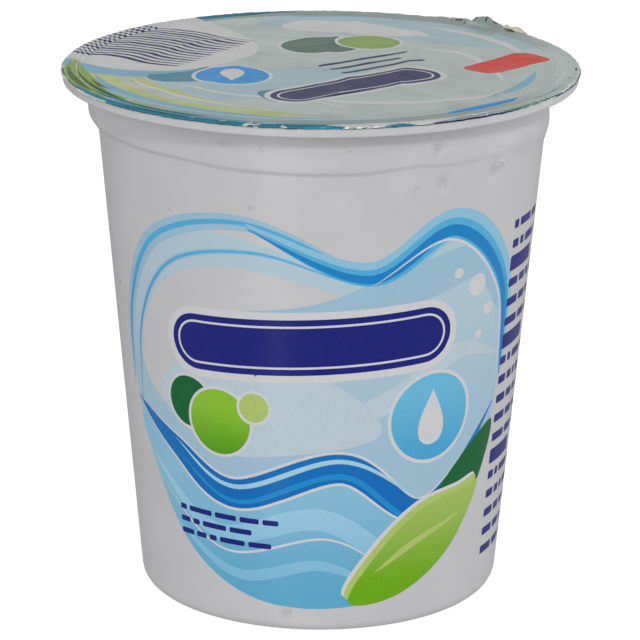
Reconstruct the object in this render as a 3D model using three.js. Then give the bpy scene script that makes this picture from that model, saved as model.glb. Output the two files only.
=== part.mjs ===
// A single-serve yogurt pot, full and shut. The white thermoformed pot has a sealing flange, a stepped
// neck, a tapered body and a recessed base, and a peel-off foil lid is sealed to its flange.
// Millimetres, +Z up. The origin is the centre of the ring that the pot stands on, and -Y is the front.
import * as THREE from "three";

// The pot's heights above the surface that it stands on
const LAND_Z = 70.85; // the flat top of the flange, where the lid is sealed
const FLANGE_UNDER_Z = 69.4;
const NECK_FOOT_Z = 65; // the neck's straight band ends here
const BODY_TOP_Z = 62.6; // the slope under the neck ends here
const FLANGE_DROP = 0.25; // how far the flange's rounded shoulder falls to its edge

// The pot's radii
const FLANGE_R = 34;
const LAND_OUT_R = 33.3;
const LAND_IN_R = 31.9;
const SEAT_R = 31.1; // the seat inside the land, which the middle of the lid is sealed down to
const NECK_R = 30.5;
const BODY_TOP_R = 29.45;
const BODY_FOOT_R = 24.05; // where the tapered wall would meet the ground
const HEEL_RADIUS = 2;
const NECK_FILLET = 0.6;
const FLANGE_EDGE_RADIUS = 0.25;

// The underside
const FOOT_RING_WIDTH = 1.8;
const BASE_RECESS_DEPTH = 1.6;
const BASE_RAMP_WIDTH = 1.4;
const BASE_PANEL_R = 12; // a second, shallower step in the middle of the base
const BASE_PANEL_RISE = 0.5;

// The foil lid
const SEAT_DROP = 0.4; // from the land down to the seat, on the pot and on the lid
const FOIL_THICKNESS = 0.15;
const FOIL_GAP = 0.02; // between the lid's underside and the flange
const MEMBRANE_CROWN = 0.2; // how much the lid's middle stands above its seat
const LIP_CLEARANCE = 0.05;
const LIP_HANG = 0.1;

// The pull tab at the back right, bent down over the flange
const TAB_ANGLE = THREE.MathUtils.degToRad(48); // from +X towards +Y
const TAB_WIDTH = 15;
const TAB_LENGTH = 9.5; // beyond the flange's edge, along the foil
const TAB_TIP_RADIUS = 5;
const TAB_SLOPE = THREE.MathUtils.degToRad(68); // how steeply it hangs
const TAB_CREASE_RISE = 0.6; // the crumpled fold at its root stands this far above the land
const TAB_CREASE_SPREAD = THREE.MathUtils.degToRad(13);

// How finely the curves are divided
const POT_SEGMENTS = 72;
const HEEL_STEPS = 4;
const FILLET_STEPS = 2;
const SHOULDER_STEPS = 3;
const MEMBRANE_RINGS = 3;
const HANGING_RINGS = 3;
const TAB_RAYS = 14; // rays across the tab, finer than round the rest of the lid

// Points on an arc of an ellipse, from one angle in degrees to the other, without the first point
function arcPoints(centre, radiusR, radiusZ, fromDeg, toDeg, steps) {
  const points = [];
  for (let i = 1; i <= steps; i++) {
    const angle = THREE.MathUtils.degToRad(fromDeg + ((toDeg - fromDeg) * i) / steps);
    const along = new THREE.Vector2(radiusR * Math.cos(angle), radiusZ * Math.sin(angle));
    points.push(along.add(centre));
  }
  return points;
}

// The radius of the tapered wall at a height
function wallRadius(z) {
  return BODY_FOOT_R + ((BODY_TOP_R - BODY_FOOT_R) * z) / BODY_TOP_Z;
}

// The recessed base, from the axis out to the foot ring's inner edge
function basePoints(footInR) {
  const panelZ = BASE_RECESS_DEPTH + BASE_PANEL_RISE;
  return [
    new THREE.Vector2(0, panelZ),
    new THREE.Vector2(BASE_PANEL_R - BASE_PANEL_RISE, panelZ),
    new THREE.Vector2(BASE_PANEL_R + BASE_PANEL_RISE, BASE_RECESS_DEPTH),
    new THREE.Vector2(footInR - BASE_RAMP_WIDTH, BASE_RECESS_DEPTH),
    new THREE.Vector2(footInR, 0),
  ];
}

// The heel, the tapered wall and the neck, from the foot ring's outer edge up to the flange
function wallPoints(heelCentreR) {
  const heelCentre = new THREE.Vector2(heelCentreR, HEEL_RADIUS);
  const filletCentre = new THREE.Vector2(NECK_R + NECK_FILLET, FLANGE_UNDER_Z - NECK_FILLET);
  return [
    new THREE.Vector2(heelCentreR, 0),
    ...arcPoints(heelCentre, HEEL_RADIUS, HEEL_RADIUS, -90, 0, HEEL_STEPS),
    new THREE.Vector2(BODY_TOP_R, BODY_TOP_Z),
    new THREE.Vector2(NECK_R, NECK_FOOT_Z),
    new THREE.Vector2(NECK_R, FLANGE_UNDER_Z - NECK_FILLET),
    ...arcPoints(filletCentre, NECK_FILLET, NECK_FILLET, 180, 90, FILLET_STEPS),
  ];
}

// The flange and the seat inside it, from its underside back to the axis
function flangePoints() {
  const edgeTopZ = LAND_Z - FLANGE_DROP;
  const shoulderCentre = new THREE.Vector2(LAND_OUT_R, edgeTopZ);
  const shoulderRun = FLANGE_R - LAND_OUT_R;
  return [
    new THREE.Vector2(FLANGE_R - FLANGE_EDGE_RADIUS, FLANGE_UNDER_Z),
    new THREE.Vector2(FLANGE_R, FLANGE_UNDER_Z + FLANGE_EDGE_RADIUS),
    new THREE.Vector2(FLANGE_R, edgeTopZ),
    ...arcPoints(shoulderCentre, shoulderRun, FLANGE_DROP, 0, 90, SHOULDER_STEPS),
    new THREE.Vector2(LAND_IN_R, LAND_Z),
    new THREE.Vector2(SEAT_R, LAND_Z - SEAT_DROP),
    new THREE.Vector2(0, LAND_Z - SEAT_DROP),
  ];
}

// The whole outline of the pot, from the axis under the base, up its outside and back to the axis
function potProfile() {
  const heelCentreR = wallRadius(HEEL_RADIUS) - HEEL_RADIUS;
  return [
    ...basePoints(heelCentreR - FOOT_RING_WIDTH),
    ...wallPoints(heelCentreR),
    ...flangePoints(),
  ];
}

// The angles of the lid's rays: even steps, with finer ones across the tab
function lidAngles() {
  const step = (2 * Math.PI) / POT_SEGMENTS;
  const halfTab = Math.asin(TAB_WIDTH / 2 / FLANGE_R) + step / 4;
  const angles = [];
  for (let i = 0; i <= TAB_RAYS; i++) {
    angles.push(TAB_ANGLE - halfTab + (2 * halfTab * i) / TAB_RAYS);
  }
  const rest = 2 * (Math.PI - halfTab);
  const restSteps = Math.round(rest / step);
  for (let i = 1; i < restSteps; i++) {
    angles.push(TAB_ANGLE + halfTab + (rest * i) / restSteps);
  }
  return angles;
}

// How long the tab is on a ray at this angle, and 0 beside the tab
function tabReach(angle) {
  const across = Math.abs(Math.sin(angle - TAB_ANGLE)) * FLANGE_R;
  const besideTab = Math.cos(angle - TAB_ANGLE) < 0 || across > TAB_WIDTH / 2;
  if (besideTab) return 0;
  const intoCorner = Math.max(across - (TAB_WIDTH / 2 - TAB_TIP_RADIUS), 0);
  return TAB_LENGTH - TAB_TIP_RADIUS + Math.sqrt(TAB_TIP_RADIUS ** 2 - intoCorner ** 2);
}

// How far the tab's crumpled fold lifts the foil at this angle and radius
function creaseRise(angle, radius) {
  const off = Math.atan2(Math.sin(angle - TAB_ANGLE), Math.cos(angle - TAB_ANGLE));
  const share = Math.exp(-((off / TAB_CREASE_SPREAD) ** 4));
  return TAB_CREASE_RISE * share * THREE.MathUtils.smoothstep(radius, LAND_IN_R, FLANGE_R);
}

// A point of the lid's underside in the plane of one ray, with the way that the foil's top faces there
function foilPoint(radius, z, facing = new THREE.Vector2(0, 1)) {
  return { at: new THREE.Vector2(radius, z), facing };
}

// The sealed part of the lid on one ray: the crowned membrane, the seat, the land and the shoulder
function sealedPoints(angle) {
  const landZ = LAND_Z + FOIL_GAP;
  const points = [];
  for (let i = 1; i <= MEMBRANE_RINGS; i++) {
    const share = i / MEMBRANE_RINGS;
    const crown = MEMBRANE_CROWN * (1 - share * share);
    points.push(foilPoint(SEAT_R * share, landZ - SEAT_DROP + crown));
  }
  points.push(foilPoint(LAND_IN_R, landZ));
  points.push(foilPoint(LAND_OUT_R, landZ + creaseRise(angle, LAND_OUT_R)));
  const centre = new THREE.Vector2(LAND_OUT_R, landZ - FLANGE_DROP);
  const run = FLANGE_R + LIP_CLEARANCE - LAND_OUT_R;
  const shoulder = arcPoints(centre, run, FLANGE_DROP, 90, 0, SHOULDER_STEPS);
  shoulder.forEach((at, i) => {
    const lean = ((i + 1) / SHOULDER_STEPS) * (Math.PI / 2);
    const facing = new THREE.Vector2(Math.sin(lean), Math.cos(lean));
    points.push(foilPoint(at.x, at.y + creaseRise(angle, at.x), facing));
  });
  return points;
}

// What hangs past the flange's edge on one ray: the lid's short lip, or the tab where there is one
function hangingPoints(angle, edge) {
  const onTab = tabReach(angle) > 0;
  const reach = onTab ? tabReach(angle) : LIP_HANG;
  const slope = onTab ? TAB_SLOPE : Math.PI / 2;
  const facing = new THREE.Vector2(Math.sin(slope), Math.cos(slope));
  const points = [];
  for (let i = 1; i <= HANGING_RINGS; i++) {
    const along = (reach * i) / HANGING_RINGS;
    const radius = edge.x + along * Math.cos(slope);
    points.push(foilPoint(radius, edge.y - along * Math.sin(slope), facing));
  }
  return points;
}

function lidRay(angle) {
  const sealed = sealedPoints(angle);
  return [...sealed, ...hangingPoints(angle, sealed[sealed.length - 1].at)];
}

// The vertices of the lid: both centres, then the upper skin and the lower skin, ray by ray
function lidPositions(angles, rays) {
  const centreZ = LAND_Z + FOIL_GAP - SEAT_DROP + MEMBRANE_CROWN;
  const positions = [0, 0, centreZ + FOIL_THICKNESS, 0, 0, centreZ];
  for (const lift of [FOIL_THICKNESS, 0]) {
    rays.forEach((ray, i) => {
      for (const { at, facing } of ray) {
        const r = at.x + facing.x * lift;
        const z = at.y + facing.y * lift;
        positions.push(r * Math.cos(angles[i]), r * Math.sin(angles[i]), z);
      }
    });
  }
  return positions;
}

// The faces that join those vertices into one closed shell
function lidFaces(rayCount, ringCount) {
  const upper = (i, j) => 2 + (i % rayCount) * ringCount + j;
  const lower = (i, j) => upper(i, j) + rayCount * ringCount;
  const faces = [];
  const quad = (a, b, c, d) => faces.push(a, b, c, a, c, d);
  const last = ringCount - 1;
  for (let i = 0; i < rayCount; i++) {
    faces.push(0, upper(i, 0), upper(i + 1, 0));
    faces.push(1, lower(i + 1, 0), lower(i, 0));
    for (let j = 0; j < last; j++) {
      quad(upper(i, j), upper(i, j + 1), upper(i + 1, j + 1), upper(i + 1, j));
      quad(lower(i, j), lower(i + 1, j), lower(i + 1, j + 1), lower(i, j + 1));
    }
    quad(upper(i, last), lower(i, last), lower(i + 1, last), upper(i + 1, last));
  }
  return faces;
}

function lidGeometry() {
  const angles = lidAngles();
  const rays = angles.map(lidRay);
  const geometry = new THREE.BufferGeometry();
  const positions = new THREE.Float32BufferAttribute(lidPositions(angles, rays), 3);
  geometry.setAttribute("position", positions);
  geometry.setIndex(lidFaces(angles.length, rays[0].length));
  geometry.computeVertexNormals();
  return geometry;
}

function potMesh() {
  const geometry = new THREE.LatheGeometry(potProfile(), POT_SEGMENTS);
  geometry.rotateX(Math.PI / 2); // the lathe turns about Y
  const material = new THREE.MeshStandardMaterial({ color: 0xe9e9ea, roughness: 0.35, metalness: 0 });
  const mesh = new THREE.Mesh(geometry, material);
  mesh.name = "pot";
  return mesh;
}

function lidMesh() {
  const material = new THREE.MeshStandardMaterial({ color: 0xb9c6c4, roughness: 0.4, metalness: 0.5 });
  const mesh = new THREE.Mesh(lidGeometry(), material);
  mesh.name = "foil_lid";
  return mesh;
}

const yogurtPot = new THREE.Group();
yogurtPot.add(potMesh(), lidMesh());
export default yogurtPot;
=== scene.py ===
"""A shut single-serve yogurt pot. The white plastic pot is printed with waves, hills and blank plates,
and a printed foil lid is sealed to its flange. Lengths are in millimetres until a mesh or a light is made,
then in metres."""
import math
import random

import bmesh
import bpy
import numpy as np
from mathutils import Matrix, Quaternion, Vector, noise
from mathutils.geometry import delaunay_2d_cdt


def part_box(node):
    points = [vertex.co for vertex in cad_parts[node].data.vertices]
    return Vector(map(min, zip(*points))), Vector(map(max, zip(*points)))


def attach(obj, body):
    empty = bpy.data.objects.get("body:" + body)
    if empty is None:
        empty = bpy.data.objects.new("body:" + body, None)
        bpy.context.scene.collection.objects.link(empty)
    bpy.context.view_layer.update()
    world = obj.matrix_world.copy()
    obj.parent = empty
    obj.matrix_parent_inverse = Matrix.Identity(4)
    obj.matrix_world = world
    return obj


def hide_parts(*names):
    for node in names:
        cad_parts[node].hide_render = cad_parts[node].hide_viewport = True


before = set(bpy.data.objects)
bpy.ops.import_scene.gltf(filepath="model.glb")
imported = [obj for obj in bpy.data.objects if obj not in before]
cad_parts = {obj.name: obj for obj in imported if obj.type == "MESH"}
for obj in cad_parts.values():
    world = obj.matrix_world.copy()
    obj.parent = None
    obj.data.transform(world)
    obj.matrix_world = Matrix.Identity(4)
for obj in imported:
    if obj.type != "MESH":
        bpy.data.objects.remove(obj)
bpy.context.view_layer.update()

MM = 0.001
POT_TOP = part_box("pot")[1].z / MM
FLANGE_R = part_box("pot")[1].y / MM

# The pot's outline, as radii and heights
FLANGE_DEPTH = 1.45
SEAT_DROP = 0.4
LAND_IN_R = 31.9
SEAT_R = 31.1
NECK_R = 30.5
NECK_FOOT_Z = 65.0
BODY_TOP_R = 29.53
BODY_TOP_Z = 62.6
BODY_FOOT_R = 24.05
HEEL_RADIUS = 2.0
FOOT_IN_R = 20.45
RECESS_DEPTH = 1.6
RECESS_R = 19.05
PANEL_R = 12.0
PANEL_STEP = 0.5
# The longest steps between the rings of its mesh, on the wall and elsewhere
WALL_STEP = 0.45
HIDDEN_STEP = 1.6

# The printed band of the wall, laid flat: x runs round the pot at this radius, from the seam at the left
PRINT_R = 27.0
PRINT_FOOT_Z = 3.0
PRINT_TOP_Z = 59.0
TURN_STEPS = 400
BAND_ROWS = 80
TURN = 2 * math.pi * PRINT_R
SEAM_X = -TURN / 4

# The foil lid, as a flat die-cut sheet that is then bent over the flange
FOIL_THICKNESS = 0.05
FOIL_LIFT = 0.19
FOIL_DROP = 0.08
SHOULDER_R = 33.75
BEND_RADIUS = 0.35
LIP_LENGTH = 0.66
MEMBRANE_CROWN = 0.2
TAB_ANGLE = math.radians(48)
TAB_WIDTH = 15.0
TAB_LENGTH = 9.5
TAB_TIP_RADIUS = 5.0
HANG_SLOPE = math.radians(68)
TAB_CREASE_RISE = 0.7
TAB_CREASE_SPREAD = math.radians(13)
# The crease's sharp peak: where it is from the tab's middle, half its width, and its own rise
TAB_PEAK = math.radians(0.4)
TAB_PEAK_SPREAD = 0.045
TAB_PEAK_RISE = 0.3
# The grooves that the sealing head pressed round the lid, as (radius, width, depth)
SEAL_GROOVES = ((33.0, 0.15, 0.16), (32.2, 0.17, 0.25), (31.4, 0.2, 0.18))
# The die-cut edge, with its points round the lid and round the tab
LIP_EDGE_R = SHOULDER_R + LIP_LENGTH
TAB_HALF_ANGLE = math.asin(TAB_WIDTH / 2 / FLANGE_R)
RIM_STEPS = 720
TAB_STEPS = 40


def linear(hex_colour):
    """An sRGB hex colour as the linear RGBA that shaders take."""
    channels = [int(hex_colour[i:i + 2], 16) / 255 for i in (1, 3, 5)]
    return [c / 12.92 if c <= 0.04045 else ((c + 0.055) / 1.055) ** 2.4 for c in channels] + [1.0]


def add_node(tree, kind, settings=None, links=None):
    """Adds a shader node, sets its properties and inputs, and links inputs to other nodes' outputs."""
    node = tree.nodes.new(kind)
    for name, value in (settings or {}).items():
        if isinstance(name, int) or name in node.inputs:
            node.inputs[name].default_value = value
        else:
            setattr(node, name, value)
    for name, output in (links or {}).items():
        tree.links.new(output, node.inputs[name])
    return node


def new_material(name, settings):
    """A material with one Principled shader, which is returned with the material."""
    material = bpy.data.materials.new(name)
    material.use_nodes = True
    shader = material.node_tree.nodes["Principled BSDF"]
    for socket, value in settings.items():
        shader.inputs[socket].default_value = value
    return material, shader


def mottle(tree, size, low, high, seed=0.0, detail=2.0):
    """A soft noise with grains of this size in millimetres, as a number from low to high."""
    place = add_node(tree, "ShaderNodeTexCoord")
    moved = add_node(tree, "ShaderNodeVectorMath", {"operation": "ADD", 1: (seed, seed, seed)},
                     {0: place.outputs["Object"]})
    grain = add_node(tree, "ShaderNodeTexNoise", {"Scale": 1 / (size * MM), "Detail": detail},
                     {"Vector": moved.outputs["Vector"]})
    spread = add_node(tree, "ShaderNodeMapRange",
                      {"From Min": 0.3, "From Max": 0.7, "To Min": low, "To Max": high},
                      {"Value": grain.outputs["Fac"]})
    return spread.outputs["Result"]


def surface_relief(material, shader, size, depth, seed=0.0):
    """Bumps the surface with soft swells of this size and depth in millimetres."""
    tree = material.node_tree
    height = mottle(tree, size, 0.0, 1.0, seed)
    bump = add_node(tree, "ShaderNodeBump", {"Strength": 1.0, "Distance": depth * MM}, {"Height": height})
    tree.links.new(bump.outputs["Normal"], shader.inputs["Normal"])


def tinted(material, shader, colour, other, weight):
    """Colours a material between two colours by a weight output."""
    settings = {"data_type": "RGBA", 6: linear(colour), 7: linear(other)}
    blend = add_node(material.node_tree, "ShaderNodeMix", settings, {"Factor": weight})
    material.node_tree.links.new(blend.outputs[2], shader.inputs["Base Color"])


# Scuffed patches of the wall, as (angle from the front, wall radius, height, size)
SCUFFS = (
    (29.4, 30.2, 66.9, 1.7), (31.6, 30.2, 65.4, 0.9), (26.6, 30.2, 68.0, 0.6), (-14.0, 30.2, 66.8, 0.5),
    (7.0, 30.2, 66.9, 0.5), (51.0, 29.5, 62.4, 1.2), (23.4, 29.4, 61.4, 0.9), (-17.2, 29.2, 59.0, 0.7),
    (-9.7, 24.2, 2.9, 1.2), (-41.0, 29.0, 57.0, 0.5), (155.0, 29.3, 61.0, 1.4), (240.0, 24.8, 9.0, 1.6),
)
SCUFF_DEPTH = 0.18
# Greyer patches: most sit on dents, and there their grey is painted shade in the dents
GREY_PATCHES_AND_DENT_SHADE = (
    (31.4, 29.4, 61.6, 1.3), (48.6, 29.4, 61.8, 1.2), (29.0, 30.2, 66.0, 1.4), (-24.0, 30.3, 67.0, 0.8),
    (-9.7, 24.2, 3.2, 1.3), (170.0, 27.0, 35.0, 1.8),
)
# How deep the swells are that forming leaves in the wall
FORMING_SWELL = 0.014


def patches(tree, spots):
    """How far inside one of these patches a place is, from 0 at its edge to 1 over its inner fifth."""
    place = add_node(tree, "ShaderNodeTexCoord")
    total = None
    for angle, radius, height, size in spots:
        turn = math.radians(angle)
        spot = (radius * math.sin(turn) * MM, -radius * math.cos(turn) * MM, height * MM)
        away = add_node(tree, "ShaderNodeVectorMath", {"operation": "DISTANCE", 1: spot},
                        {0: place.outputs["Object"]})
        settings = {"From Min": 0.2 * size * MM, "From Max": size * MM, "To Min": 1.0, "To Max": 0.0,
                    "interpolation_type": "SMOOTHSTEP"}
        fade = add_node(tree, "ShaderNodeMapRange", settings, {"Value": away.outputs["Value"]})
        share = fade.outputs["Result"]
        if total is not None:
            joined = add_node(tree, "ShaderNodeMath", {"operation": "ADD"}, {0: total, 1: share})
            share = joined.outputs["Value"]
        total = share
    return total


def polystyrene(name, colour, shade):
    """Thermoformed polystyrene: satin, with faint cloudy thinning, shallow forming swells, a few scuffs, and
    greyer patches, which are painted shade where they sit on dents."""
    material, shader = new_material(name, {"IOR": 1.58, "Roughness": 0.33})
    tree = material.node_tree
    # Greyer patches: painted shade over the dents, and one plain grey patch at the back
    grey_patch_and_dent_shade = add_node(tree, "ShaderNodeMath", {"operation": "MULTIPLY"},
                      {0: patches(tree, GREY_PATCHES_AND_DENT_SHADE), 1: mottle(tree, 0.9, 0.8, 2.5, 0.6)})
    weight = add_node(tree, "ShaderNodeMath", {"operation": "ADD"},
                      {0: mottle(tree, 7.0, 0.0, 1.0, 0.3, 4.0), 1: grey_patch_and_dent_shade.outputs["Value"]})
    share = add_node(tree, "ShaderNodeMath", {"operation": "MULTIPLY", "use_clamp": True, 1: 0.2},
                     {0: weight.outputs["Value"]})
    tinted(material, shader, colour, shade, share.outputs["Value"])
    crumples = add_node(tree, "ShaderNodeMath", {"operation": "MULTIPLY"},
                        {0: patches(tree, SCUFFS), 1: mottle(tree, 0.6, 0.0, 1.0, 0.4, 4.0)})
    swells = add_node(tree, "ShaderNodeBump", {"Distance": FORMING_SWELL * MM},
                      {"Height": mottle(tree, 3.0, 0.0, 1.0)})
    marks = add_node(tree, "ShaderNodeBump", {"Distance": SCUFF_DEPTH * MM},
                     {"Height": crumples.outputs["Value"], "Normal": swells.outputs["Normal"]})
    tree.links.new(marks.outputs["Normal"], shader.inputs["Normal"])
    return material


# The ink film's index, which is set low so that the dark inks stay deep
INK_IOR = 1.26
# The index of the lid's lacquer, lower still, because its haze is weak even at a low angle
LACQUER_IOR = 1.12


def flat_ink(name, colour, shade, roughness=0.3):
    """Offset ink on the plastic, or the lid's dull heat-seal lacquer: even, with a fine mottle where the film
    is thinner."""
    material, shader = new_material(name, {"IOR": INK_IOR, "Roughness": roughness})
    tinted(material, shader, colour, shade, mottle(material.node_tree, 0.5, 0.0, 1.0))
    surface_relief(material, shader, 3.0, 0.012)
    return material


def graded_ink(name, low_colour, high_colour, low_z, high_z):
    """Offset ink that fades from one tint to another with height, through a halftone grain. Real dots are
    about 0.2 mm apart, too fine to show, so the grain is drawn at 0.4 mm."""
    material, shader = new_material(name, {"IOR": INK_IOR, "Roughness": 0.3})
    tree = material.node_tree
    place = add_node(tree, "ShaderNodeTexCoord")
    axes = add_node(tree, "ShaderNodeSeparateXYZ", None, {"Vector": place.outputs["Object"]})
    fade = add_node(tree, "ShaderNodeMapRange",
                    {"From Min": low_z * MM, "From Max": high_z * MM, "interpolation_type": "SMOOTHSTEP"},
                    {"Value": axes.outputs["Z"]})
    grain = mottle(tree, 0.4, -0.07, 0.07)
    mixed = add_node(tree, "ShaderNodeMath", {"operation": "ADD", "use_clamp": True},
                     {0: fade.outputs["Result"], 1: grain})
    tinted(material, shader, low_colour, high_colour, mixed.outputs["Value"])
    surface_relief(material, shader, 3.0, 0.012)
    return material


def foil_ink(name, colour, shade, metallic, roughness=0.36):
    """Lacquer ink on aluminium foil: the metal shows through it, under a thin hazy clear coat, and its film
    is cloudy over a faintly pebbled surface. Bare foil is the same without the ink."""
    settings = {"Metallic": metallic, "Roughness": roughness, "Coat Weight": 0.04, "Coat Roughness": 0.2}
    if metallic < 1:
        settings["IOR"] = LACQUER_IOR
    material, shader = new_material(name, settings)
    tinted(material, shader, colour, shade, mottle(material.node_tree, 5.0, 0.0, 1.0, 0.7, 5.0))
    surface_relief(material, shader, 0.9, 0.012, 0.2)
    return material


# Outlines

def closed_spline(points, steps=14):
    """A smooth closed outline through a few points."""
    count = len(points)
    outline = []
    for i in range(count):
        p0, p1, p2, p3 = (np.array(points[(i + k - 1) % count], float) for k in range(4))
        for step in range(steps):
            t = step / steps
            outline.append(
                0.5 * (2 * p1 + (p2 - p0) * t + (2 * p0 - 5 * p1 + 4 * p2 - p3) * t ** 2
                       + (3 * p1 - p0 - 3 * p2 + p3) * t ** 3)
            )
    return outline


def open_spline(points, steps=16):
    """A smooth open line through a few points."""
    ends = [2 * np.array(points[0]) - points[1], *points, 2 * np.array(points[-1]) - points[-2]]
    line = []
    for i in range(len(points) - 1):
        p0, p1, p2, p3 = (np.array(ends[i + k], float) for k in range(4))
        for step in range(steps + (i == len(points) - 2)):
            t = step / steps
            line.append(
                0.5 * (2 * p1 + (p2 - p0) * t + (2 * p0 - 5 * p1 + 4 * p2 - p3) * t ** 2
                       + (3 * p1 - p0 - 3 * p2 + p3) * t ** 3)
            )
    return line


def ribbon(points, width, sharp=0.8, tip=0.06):
    """A tapered band along a smooth line: widest in the middle, with narrow ends."""
    line = open_spline(points)
    left, right = [], []
    for i, here in enumerate(line):
        ahead = line[min(i + 1, len(line) - 1)] - line[max(i - 1, 0)]
        normal = np.array((-ahead[1], ahead[0])) / np.linalg.norm(ahead)
        share = math.sin(math.pi * i / (len(line) - 1)) ** sharp
        half = width / 2 * max(share, tip)
        left.append(here + normal * half)
        right.append(here - normal * half)
    return left + right[::-1]


def disc(centre, radius, steps=40):
    """A round outline."""
    angles = np.arange(steps) * 2 * math.pi / steps
    return [np.array(centre) + radius * np.array((math.cos(a), math.sin(a))) for a in angles]


def pill(centre, length, height, tilt=0.0, radius=None, steps=10):
    """A bar with round ends, or a box with rounded corners where a radius is given."""
    radius = min(height / 2 if radius is None else radius, height / 2)
    turn = np.array(((math.cos(tilt), -math.sin(tilt)), (math.sin(tilt), math.cos(tilt))))
    outline = []
    for corner, (side, level) in enumerate(((1, 1), (-1, 1), (-1, -1), (1, -1))):
        middle = np.array((side * (length / 2 - radius), level * (height / 2 - radius)))
        for step in range(steps + 1):
            angle = (corner + step / steps) * math.pi / 2
            outline.append(middle + radius * np.array((math.cos(angle), math.sin(angle))))
    return [np.array(centre) + turn @ point for point in outline]


def drop(centre, height, tilt=0.0, steps=32):
    """A falling drop: round below and pointed above."""
    turn = np.array(((math.cos(tilt), -math.sin(tilt)), (math.sin(tilt), math.cos(tilt))))
    outline = []
    for step in range(steps):
        angle = 2 * math.pi * step / steps
        across = 0.36 * height * math.sin(angle) * math.sin(angle / 2) ** 1.4
        outline.append(np.array(centre) + turn @ np.array((across, height / 2 * math.cos(angle))))
    return outline


def anticlockwise(outline):
    """The outline, turned round if it runs clockwise."""
    x, y = np.array(outline).T
    area = np.sum(x * np.roll(y, -1) - y * np.roll(x, -1))
    return outline if area > 0 else outline[::-1]


def shifted(outline, dx):
    """The outline, moved round the pot."""
    return [point + np.array((dx, 0.0)) for point in outline]


def in_short_steps(outline, longest=0.8):
    """The closed outline with points added, so that it follows the wall where it is bent round the pot."""
    fine = []
    for here, there in zip(outline, outline[1:] + outline[:1]):
        parts = max(1, math.ceil(np.linalg.norm(there - here) / longest))
        fine += [here + (there - here) * k / parts for k in range(parts)]
    return fine


def split_sheet(grid, shapes):
    """Triangulates a flat sheet so that each shape's edge is an edge of the mesh. It returns the points, the
    triangles and, for each triangle, the numbers of the shapes that cover it."""
    points = [Vector(p) for p in grid]
    faces = []
    for outline in shapes:
        first = len(points)
        points += [Vector(p) for p in in_short_steps(anticlockwise(outline))]
        faces.append(list(range(first, len(points))))
    verts, _, triangles, _, _, covers = delaunay_2d_cdt(points, [], faces, 0, 1e-4)
    return [(v.x, v.y) for v in verts], triangles, covers


def mesh_object(name, points, faces, slots, materials, normals=None):
    """A smooth mesh object in metres. slots gives each face's material by its place in materials."""
    mesh = bpy.data.meshes.new(name)
    mesh.from_pydata([Vector(p) * MM for p in points], [], faces)
    for material in materials:
        mesh.materials.append(material)
    mesh.polygons.foreach_set("material_index", slots)
    mesh.polygons.foreach_set("use_smooth", [True] * len(mesh.polygons))
    mesh.update()
    if normals is not None:
        mesh.normals_split_custom_set_from_vertices(normals)
    piece = bpy.data.objects.new(name, mesh)
    bpy.context.scene.collection.objects.link(piece)
    return piece


# The pot's form

def rounded_outline(corners, steps=5):
    """An open outline through corners, each (radius, height, rounding), with the inner ones rounded off."""
    places = [np.array(c[:2], float) for c in corners]
    outline = [places[0]]
    for before, here, after, (_, _, rounding) in zip(places, places[1:], places[2:], corners[1:]):
        back = (before - here) / np.linalg.norm(before - here)
        ahead = (after - here) / np.linalg.norm(after - here)
        half_turn = math.acos(max(-1.0, min(1.0, -float(back @ ahead)))) / 2
        reach = rounding * math.tan(half_turn)
        start, end = here + back * reach, here + ahead * reach
        for step in range(steps + 1):
            t = step / steps
            outline.append((1 - t) ** 2 * start + 2 * t * (1 - t) * here + t ** 2 * end)
    return outline + [places[-1]]


def wall_radius(z):
    """The radius of the straight wall at this height."""
    return BODY_FOOT_R + (BODY_TOP_R - BODY_FOOT_R) * z / BODY_TOP_Z


def foot_outline():
    """From the axis under the base, out over the recess and the foot ring, and up to the printed band."""
    return rounded_outline([
        (0, RECESS_DEPTH + PANEL_STEP, 0),
        (PANEL_R - PANEL_STEP, RECESS_DEPTH + PANEL_STEP, 0.6),
        (PANEL_R + PANEL_STEP, RECESS_DEPTH, 0.6),
        (RECESS_R, RECESS_DEPTH, 0.6),
        (FOOT_IN_R, 0, 0.4),
        (BODY_FOOT_R, 0, HEEL_RADIUS),
        (wall_radius(PRINT_FOOT_Z), PRINT_FOOT_Z, 0),
    ])


def neck_outline():
    """From the printed band's top, over the neck and the flange, and in to the axis under the lid."""
    under = POT_TOP - FLANGE_DEPTH
    return rounded_outline([
        (wall_radius(PRINT_TOP_Z), PRINT_TOP_Z, 0),
        (BODY_TOP_R, BODY_TOP_Z, 0.4),
        (NECK_R, NECK_FOOT_Z, 3.2),
        (NECK_R, under, 0.6),
        (FLANGE_R, under, 0.3),
        (FLANGE_R, POT_TOP, 0.4),
        (LAND_IN_R, POT_TOP, 0.2),
        (SEAT_R, POT_TOP - SEAT_DROP, 0.2),
        (0, POT_TOP - SEAT_DROP, 0),
    ])


def subdivided(outline):
    """The outline with points added: close together on the visible wall, and further apart elsewhere."""
    fine = [outline[0]]
    for here, there in zip(outline, outline[1:]):
        innermost, highest = min(here[0], there[0]), max(here[1], there[1])
        on_wall = innermost > BODY_FOOT_R - 0.1 and highest < POT_TOP - FLANGE_DEPTH + 0.1
        longest = WALL_STEP if on_wall else HIDDEN_STEP
        parts = max(1, math.ceil(np.linalg.norm(there - here) / longest - 1e-6))
        fine += [here + (there - here) * k / parts for k in range(1, parts + 1)]
    return fine


# How the slope under the neck wanders up and down round the pot, as (angle from the front, rise)
STEP_WANDER = (
    (-90, 0.0), (-62, 0.45), (-35, 0.4), (-25, 0.0), (-4, -0.2), (11, -0.15), (17, 0.15), (24, 0.35),
    (29, 0.1), (35, -0.05), (46, 0.0), (90, -1.2), (130, 0.1), (175, 0.4), (190, 0.0), (235, 0.3),
)
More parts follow.
